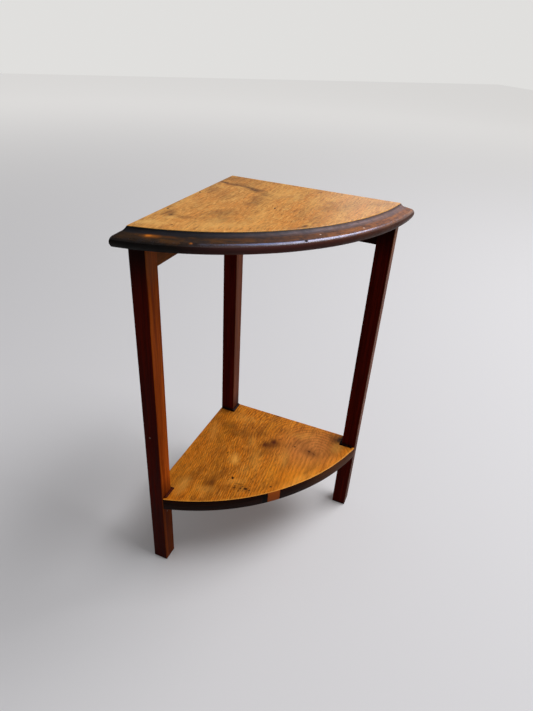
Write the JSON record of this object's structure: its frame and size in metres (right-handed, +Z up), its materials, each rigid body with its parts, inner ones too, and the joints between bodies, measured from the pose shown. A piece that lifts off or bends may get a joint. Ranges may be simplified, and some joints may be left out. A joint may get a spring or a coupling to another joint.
{
  "type": "corner plant stand",
  "caption": "Small corner stand for a plant: bow-fronted top with a moulded edge, slim square posts, rails under the top and a bow-fronted lower shelf.",
  "frame": {"origin": "on the floor, in the middle of the box round the object's footprint", "axes": "+Z up, -Y towards the bowed front, +Y towards the room's corner, +X to the right as seen from the front"},
  "size_m": [0.367, 0.2418, 0.508],
  "materials": {
    "top_board": "satin clear varnish on honey-coloured wood",
    "moulding": "satin dark stain and varnish, worn at the nose",
    "posts_and_rails": "satin dark red-brown stain and varnish",
    "shelf_board": "satin amber varnish on wood with knots",
    "lipping": "satin very dark stain",
    "dowels": "bare wood"
  },
  "bodies": {
    "root": {"top_board": "top_board", "top_edge_moulding": "moulding", "post_left": "posts_and_rails", "post_right": "posts_and_rails", "post_back": "posts_and_rails", "rail_left": "posts_and_rails", "rail_right": "posts_and_rails", "shelf_board": "shelf_board", "shelf_edge_lipping": "lipping", "top_dowel_left": "dowels", "top_dowel_right": "dowels", "top_dowel_back": "dowels", "shelf_dowel_left": "dowels", "shelf_dowel_right": "dowels", "shelf_dowel_back": "dowels"}
  },
  "joints": []
}
